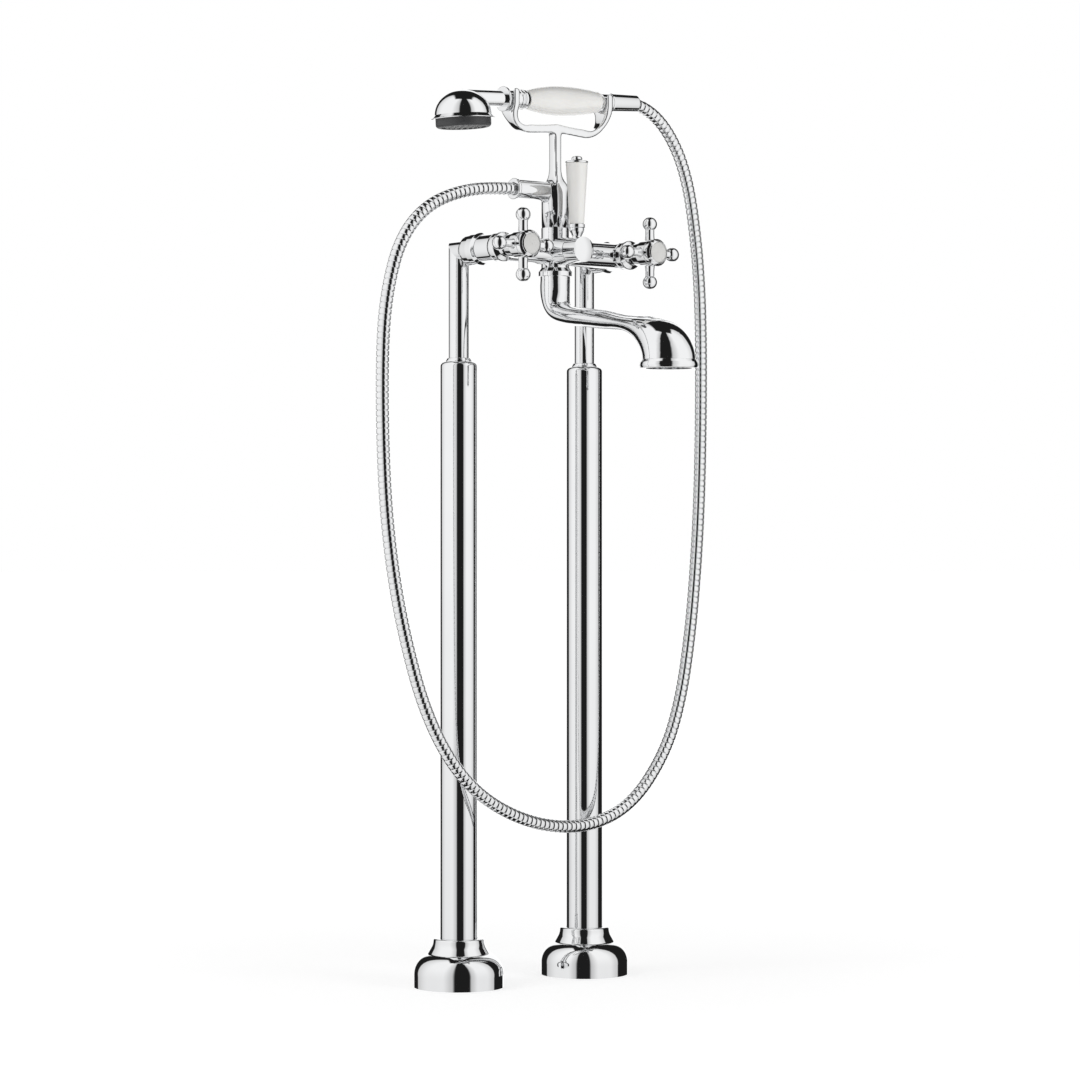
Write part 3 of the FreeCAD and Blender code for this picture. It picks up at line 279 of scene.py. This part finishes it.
def hose_line():
    """Smooth line of the hose, drawn through the corners of its route."""
    line = bpy.data.curves.new("hose_line", "CURVE")
    line.dimensions = "3D"
    line.resolution_u = 24
    spline = line.splines.new("NURBS")
    spline.points.add(len(HOSE_ROUTE) - 1)
    for point, (x, z) in zip(spline.points, HOSE_ROUTE):
        point.co = (x / 1000, HOSE_PLANE, z / 1000, 1)
    spline.order_u = 3
    spline.use_endpoint_u = True
    line_object = bpy.data.objects.new("hose_line", line)
    bpy.context.collection.objects.link(line_object)
    return line_object


def one_rib():
    """One flat-topped rib of the metal hose with half a groove at each end."""
    groove = HOSE_RADIUS - GROOVE_DEPTH
    shoulder = HOSE_RADIUS - RIB_ROUNDING
    steps = ((0.05, groove), (0.11, shoulder), (0.18, HOSE_RADIUS), (0.82, HOSE_RADIUS),
             (0.89, shoulder), (0.95, groove), (1.0, groove))
    mesh = bmesh.new()
    bmesh.ops.create_circle(mesh, segments=24, radius=groove,
                            matrix=Matrix.Rotation(math.radians(90), 4, "Y"))
    edges = list(mesh.edges)
    last_share, last_radius = 0, groove
    for share, radius in steps:
        grown = bmesh.ops.extrude_edge_only(mesh, edges=edges)
        ring = [part for part in grown["geom"] if isinstance(part, bmesh.types.BMVert)]
        edges = [part for part in grown["geom"] if isinstance(part, bmesh.types.BMEdge)]
        growth = radius / last_radius
        bmesh.ops.translate(mesh, verts=ring, vec=((share - last_share) * RIB_PITCH, 0, 0))
        bmesh.ops.scale(mesh, verts=ring, vec=(1, growth, growth))
        last_share, last_radius = share, radius
    return mesh


def make_hose():
    """Ribbed hose: one rib repeated and bent along the smooth line."""
    line_object = hose_line()
    path = [tuple(vertex.co) for vertex in applied_mesh(line_object).vertices]
    length = sum((Vector(b) - Vector(a)).length for a, b in zip(path, path[1:]))
    count = round(length / RIB_PITCH)
    straight = mesh_object("hose_ribs", one_rib())
    row = straight.modifiers.new("row", "ARRAY")
    row.count = count
    row.use_relative_offset = False
    row.use_constant_offset = True
    row.constant_offset_displace = (length / count, 0, 0)
    row.use_merge_vertices = True
    row.merge_threshold = 0.0003
    bend = straight.modifiers.new("bend", "CURVE")
    bend.object = line_object
    bend.deform_axis = "POS_X"
    bent = applied_mesh(straight)
    bpy.data.objects.remove(straight)
    bpy.data.objects.remove(line_object)
    mesh = bmesh.new()
    mesh.from_mesh(bent)
    smooth_outward(mesh)
    return mesh_object("ribbed_hose", mesh), path, length


# -------------------------------------------------------------- the cradle
# Above this height the cradle's edges are eased; below it they stay turned and crisp.
CRADLE_JOIN = 0.842
JOIN_MARGIN = 0.003
CAST_GRID = 0.0007
EASING_ROUNDS = 48
EASING_LOSS = 0.0004


def cut_at_height(mesh, height, keep_above):
    """Removes the part of a mesh on one side of a height; gives the edges of the cut."""
    everything = list(mesh.verts) + list(mesh.edges) + list(mesh.faces)
    cut = bmesh.ops.bisect_plane(mesh, geom=everything, plane_co=(0, 0, height), plane_no=(0, 0, 1),
                                 clear_inner=keep_above, clear_outer=not keep_above)
    return [part for part in cut["geom_cut"] if isinstance(part, bmesh.types.BMEdge)]


def cradle_copy():
    """The solid cradle's mesh with its corners joined."""
    mesh = bmesh.new()
    mesh.from_mesh(nodes["riser_cradle"].data)
    bmesh.ops.remove_doubles(mesh, verts=mesh.verts, dist=0.000005)
    return mesh


def eased_top():
    """The cradle above the join, on an even grid of faces and with every edge eased round."""
    upper = cradle_copy()
    rim = cut_at_height(upper, CRADLE_JOIN - JOIN_MARGIN, True)
    bmesh.ops.edgenet_fill(upper, edges=rim)
    bmesh.ops.triangulate(upper, faces=upper.faces)
    rough = mesh_object("cradle_top", upper)
    even = rough.modifiers.new("even", "REMESH")
    even.mode = "VOXEL"
    even.voxel_size = CAST_GRID
    fine = applied_mesh(rough)
    bpy.data.objects.remove(rough)
    mesh = bmesh.new()
    mesh.from_mesh(fine)
    cut_at_height(mesh, CRADLE_JOIN, True)
    free = [vertex for vertex in mesh.verts if vertex.co.z > CRADLE_JOIN + JOIN_MARGIN]
    for _ in range(EASING_ROUNDS):
        bmesh.ops.smooth_vert(mesh, verts=free, factor=0.5, use_axis_x=True, use_axis_y=True,
                              use_axis_z=True)
    mesh.normal_update()
    for vertex in free:
        rise = min(1, (vertex.co.z - CRADLE_JOIN - JOIN_MARGIN) / 0.02)
        vertex.co += vertex.normal * EASING_LOSS * max(0, rise)
    top = bpy.data.meshes.new("cradle_top")
    mesh.to_mesh(top)
    mesh.free()
    return top


def make_cradle(material):
    """Cast cradle: the solid's shape with every edge above the riser eased round."""
    mesh = cradle_copy()
    cut_at_height(mesh, CRADLE_JOIN, False)
    mesh.from_mesh(eased_top())
    cradle = finished_piece("cast_cradle", mesh, "standpipe_mixer", material)
    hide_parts("riser_cradle")


# --------------------------------------------------------------- the bezels
# Radius and distance forward from the back of the bezel, in millimetres.
BEZEL_PROFILE = [
    (4.6, 0), (14.5, 0), (14.7, 0.3), (14.7, 5.0), (14.6, 5.5), (14.3, 5.9), (11.5, 8.7),
    (11.2, 8.9), (10.95, 8.7), (10.95, 8.15), (12.4, 8.0), (12.4, 5.8), (4.6, 5.8)]


def turned_ring(profile, centre):
    """Ring turned about a line that runs forward through its centre."""
    mesh = bmesh.new()
    corners = [mesh.verts.new((centre[0] + radius / 1000, centre[1] - forward / 1000, centre[2]))
               for radius, forward in profile]
    edges = [mesh.edges.new((corners[i - 1], corners[i])) for i in range(len(corners))]
    bmesh.ops.spin(mesh, geom=corners + edges, cent=centre, axis=(0, 1, 0), angle=2 * math.pi,
                   steps=96, use_merge=True)
    return mesh


def make_bezels(material):
    """Bevelled rings that hold the index discs."""
    for side in ("left", "right"):
        low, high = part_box("index_bezel_" + side)
        back_centre = ((low[0] + high[0]) / 2, high[1], (low[2] + high[2]) / 2)
        ring = finished_piece("bezel_" + side, turned_ring(BEZEL_PROFILE, back_centre),
                              "handle_" + side, material, 24)
        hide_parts("index_bezel_" + side)


# -------------------------------------------------------------- the nozzles
# Height of the hand shower's axis, its tilt in degrees and the spray face's centre from there.
HAND_HEIGHT = 0.9534
HAND_TILT = 3.0
SPRAY_CENTRE = (-0.1255, 0, -0.0306)
# Number of nozzles and radius of each ring.
NOZZLE_RINGS = ((6, 0.0062), (12, 0.0122), (18, 0.0182))


def make_nozzles(material):
    """Rubber spray nozzles in rings on the face of the hand shower."""
    mesh = bmesh.new()
    spray_face = (Matrix.Translation((0, HOSE_PLANE, HAND_HEIGHT))
                  @ Matrix.Rotation(math.radians(-HAND_TILT), 4, "Y")
                  @ Matrix.Translation(SPRAY_CENTRE))
    places = [(0, 0)]
    for count, ring in NOZZLE_RINGS:
        for i in range(count):
            turn = 2 * math.pi * i / count
            places.append((ring * math.cos(turn), ring * math.sin(turn)))
    for x, y in places:
        bmesh.ops.create_cone(mesh, cap_ends=True, segments=10, radius1=0.0008, radius2=0.0013,
                              depth=0.0018, matrix=spray_face @ Matrix.Translation((x, y, -0.0006)))
    finished_piece("spray_nozzles", mesh, "hand_shower", material)


# ------------------------------------------------------------------ the stage
# Brightness of the dark room, of the white screen and of the world where it only lights.
DARK_LEVEL = 0.014
SCREEN_LEVEL = 1.1
WORLD_LIGHT = 0.55

# Corners of each glowing sheet, from low left round to high left. Each is given as distance to
# the camera's right, distance away from the camera and height, from the object's middle.
RIGHT_FRONT_BOX = [(0.205, -0.58, -1.4), (0.80, -0.45, -1.4), (0.80, -0.45, 3.1), (0.205, -0.58, 2.8)]
LEFT_FRONT_BOX = [(-0.80, -0.45, -1.4), (-0.145, -0.585, -1.4), (-0.145, -0.585, 2.8),
                  (-0.80, -0.45, 3.1)]
RIGHT_SIDE_BOX = [(0.80, -0.45, -1.4), (0.80, 0.05, -1.4), (0.80, 0.38, 3.2), (0.80, -0.45, 3.1)]
LEFT_SIDE_BOX = [(-0.80, 0.38, -1.4), (-0.80, -0.45, -1.4), (-0.80, -0.45, 3.1), (-0.80, 0.80, 3.3)]
BACK_SCREEN = [(-0.70, 1.5, -1.2), (0.88, 1.5, -1.2), (0.88, 1.5, 2.5), (-0.70, 1.5, 2.5)]
SHEET_STEPS = 48


def empty_material(name):
    """A node material with nothing in it but its output."""
    material = bpy.data.materials.new(name)
    material.use_nodes = True
    tree = material.node_tree
    tree.nodes.clear()
    out = tree.nodes.new("ShaderNodeOutputMaterial")
    return material, tree, out.inputs["Surface"]


def dark_material():
    """Even, very weak glow of the room round the object."""
    material, tree, surface = empty_material("dark_room")
    glow = tree.nodes.new("ShaderNodeEmission")
    glow.inputs["Strength"].default_value = DARK_LEVEL
    tree.links.new(glow.outputs["Emission"], surface)
    material.cycles.emission_sampling = "NONE"
    return material


def lit_material():
    """Glowing sheet whose brightness at each corner is kept on its mesh."""
    material, tree, surface = empty_material("soft_box")
    level = tree.nodes.new("ShaderNodeAttribute")
    level.attribute_name = "brightness"
    glow = tree.nodes.new("ShaderNodeEmission")
    tree.links.new(level.outputs["Fac"], glow.inputs["Strength"])
    tree.links.new(glow.outputs["Emission"], surface)
    material.cycles.emission_sampling = "NONE"
    return material


def floor_material():
    """Pale floor whose glow is weaker near the object's middle, a painted shade round the base, on
    top of the real faint shadow that its matt layer keeps; plain white further off.
    """
    material, tree, surface = empty_material("pale_floor")
    matt = tree.nodes.new("ShaderNodeBsdfDiffuse")
    matt.inputs["Color"].default_value = (0.6, 0.6, 0.6, 1)
    place = tree.nodes.new("ShaderNodeTexCoord")
    distance = tree.nodes.new("ShaderNodeVectorMath")
    distance.operation = "LENGTH"
    # Painted shade: the glow is weaker within about 1.6 m of the object's middle and darkens the
    # floor there, besides the real shadow.
    level = tree.nodes.new("ShaderNodeMapRange")
    level.inputs["From Min"].default_value = 0.3
    level.inputs["From Max"].default_value = 1.6
    level.inputs["To Min"].default_value = 0.585
    level.inputs["To Max"].default_value = 0.72
    glow = tree.nodes.new("ShaderNodeEmission")
    both = tree.nodes.new("ShaderNodeAddShader")
    tree.links.new(place.outputs["Object"], distance.inputs[0])
    tree.links.new(distance.outputs["Value"], level.inputs["Value"])
    tree.links.new(level.outputs["Result"], glow.inputs["Strength"])
    tree.links.new(matt.outputs["BSDF"], both.inputs[0])
    tree.links.new(glow.outputs["Emission"], both.inputs[1])
    tree.links.new(both.outputs["Shader"], surface)
    return material


def studio_point(across, away, height):
    """A point given from the object's middle, along the camera's right and its line of sight."""
    turn = math.radians(CAMERA_TURN)
    return Vector((across * math.cos(turn) + away * math.sin(turn),
                   away * math.cos(turn) - across * math.sin(turn), height))


def only_reflected(piece):
    """The sheet is seen in shiny surfaces and nowhere else, and lights nothing by itself."""
    piece.visible_camera = False
    piece.visible_diffuse = False
    piece.visible_shadow = False
    piece.visible_transmission = False


def eased(value):
    """Soft step from 0 to 1."""
    value = min(1.0, max(0.0, value))
    return value * value * (3 - 2 * value)


def box_height_fade(up):
    """The boxes are a little weaker towards the floor and fade out at the top."""
    return (0.88 + 0.12 * eased((up - 0.25) / 0.2)) * eased((1 - up) / 0.14)


def front_shade(across, up):
    """Fades towards the gap that the camera looks through, which is at the left edge."""
    fall = 0.62 + 0.38 * eased(across / 0.5)
    return DARK_LEVEL + box_height_fade(up) * fall * eased(across / 0.10)


def side_shade(across, up):
    """Fades towards the back, which is at the right edge."""
    fall = 1 - 0.28 * eased((across - 0.3) / 0.7)
    return DARK_LEVEL + box_height_fade(up) * fall * eased((1 - across) / 0.07)


def screen_shade(across, up):
    """Oval pool of light."""
    off = math.hypot(2 * across - 1, 2 * up - 1)
    return DARK_LEVEL + SCREEN_LEVEL * eased((1 - off) / 0.12)


def mirrored(shade):
    """The same shading from the other side."""
    return lambda across, up: shade(1 - across, up)


def lit_sheet(name, corners, material, shade):
    """Four-cornered sheet with a brightness for each point."""
    low_left, low_right, high_right, high_left = [studio_point(*corner) for corner in corners]
    mesh = bmesh.new()
    bmesh.ops.create_grid(mesh, x_segments=SHEET_STEPS, y_segments=SHEET_STEPS, size=0.5)
    level = mesh.verts.layers.float.new("brightness")
    for vertex in mesh.verts:
        across = vertex.co.x + 0.5
        up = vertex.co.y + 0.5
        vertex[level] = shade(across, up)
        low = low_left.lerp(low_right, across)
        high = high_left.lerp(high_right, across)
        vertex.co = low.lerp(high, up)
    only_reflected(mesh_object(name, mesh, material))


def make_tent():
    """Dark room, two tall soft boxes either side of the camera and a white screen behind."""
    mesh = bmesh.new()
    bmesh.ops.create_icosphere(mesh, subdivisions=4, radius=7)
    only_reflected(mesh_object("dark_room", mesh, dark_material()))
    lit = lit_material()
    lit_sheet("right_front_box", RIGHT_FRONT_BOX, lit, front_shade)
    lit_sheet("left_front_box", LEFT_FRONT_BOX, lit, mirrored(front_shade))
    lit_sheet("right_side_box", RIGHT_SIDE_BOX, lit, side_shade)
    lit_sheet("left_side_box", LEFT_SIDE_BOX, lit, mirrored(side_shade))
    lit_sheet("back_screen", BACK_SCREEN, lit, screen_shade)


def soft_lamp(name, place, target, size, power):
    """Square lamp that is turned towards its target and leaves no mark in shiny surfaces."""
    data = bpy.data.lights.new(name, "AREA")
    data.size = size
    data.energy = power
    lamp = bpy.data.objects.new(name, data)
    lamp.location = place
    aim = Vector(target) - Vector(place)
    lamp.rotation_euler = aim.to_track_quat("-Z", "Y").to_euler()
    lamp.visible_glossy = False
    bpy.context.collection.objects.link(lamp)


def make_world():
    """White surroundings: full white where seen or mirrored, softer as light."""
    world = bpy.data.worlds.new("white_studio")
    bpy.context.scene.world = world
    world.use_nodes = True
    tree = world.node_tree
    tree.nodes.clear()
    path = tree.nodes.new("ShaderNodeLightPath")
    seen = tree.nodes.new("ShaderNodeMath")
    seen.operation = "MAXIMUM"
    tree.links.new(path.outputs["Is Camera Ray"], seen.inputs[0])
    tree.links.new(path.outputs["Is Glossy Ray"], seen.inputs[1])
    through = tree.nodes.new("ShaderNodeMath")
    through.operation = "MAXIMUM"
    tree.links.new(seen.outputs[0], through.inputs[0])
    tree.links.new(path.outputs["Is Transmission Ray"], through.inputs[1])
    level = tree.nodes.new("ShaderNodeMapRange")
    level.inputs["To Min"].default_value = WORLD_LIGHT
    level.inputs["To Max"].default_value = 1.0
    tree.links.new(through.outputs[0], level.inputs["Value"])
    glow = tree.nodes.new("ShaderNodeBackground")
    glow.inputs["Color"].default_value = (1, 1, 1, 1)
    tree.links.new(level.outputs["Result"], glow.inputs["Strength"])
    out = tree.nodes.new("ShaderNodeOutputWorld")
    tree.links.new(glow.outputs["Background"], out.inputs["Surface"])


def make_stage():
    """Floor, tent and two soft lamps."""
    mesh = bmesh.new()
    bmesh.ops.create_grid(mesh, x_segments=1, y_segments=1, size=40)
    floor = mesh_object("floor", mesh, floor_material())
    floor.visible_glossy = False
    make_tent()
    soft_lamp("key_lamp", studio_point(2.1, -1.6, 0.5), (0, 0, 0.7), 1.4, 26)
    soft_lamp("fill_lamp", studio_point(-1.9, -1.2, 1.6), (0, 0, 0.6), 1.4, 12)


# ------------------------------------------------------------------ assembly
bpy.context.scene.view_settings.view_transform = "Standard"
set_camera()
finishes = make_finishes()
dress_nodes(finishes)
hose, hose_path, hose_length = make_hose()
hose.data.materials.append(finishes["hose"])
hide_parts("shower_hose")
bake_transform(hose)
make_cradle(finishes["chrome"])
make_bezels(finishes["chrome"])
make_nozzles(finishes["nozzle"])
make_world()
make_stage()
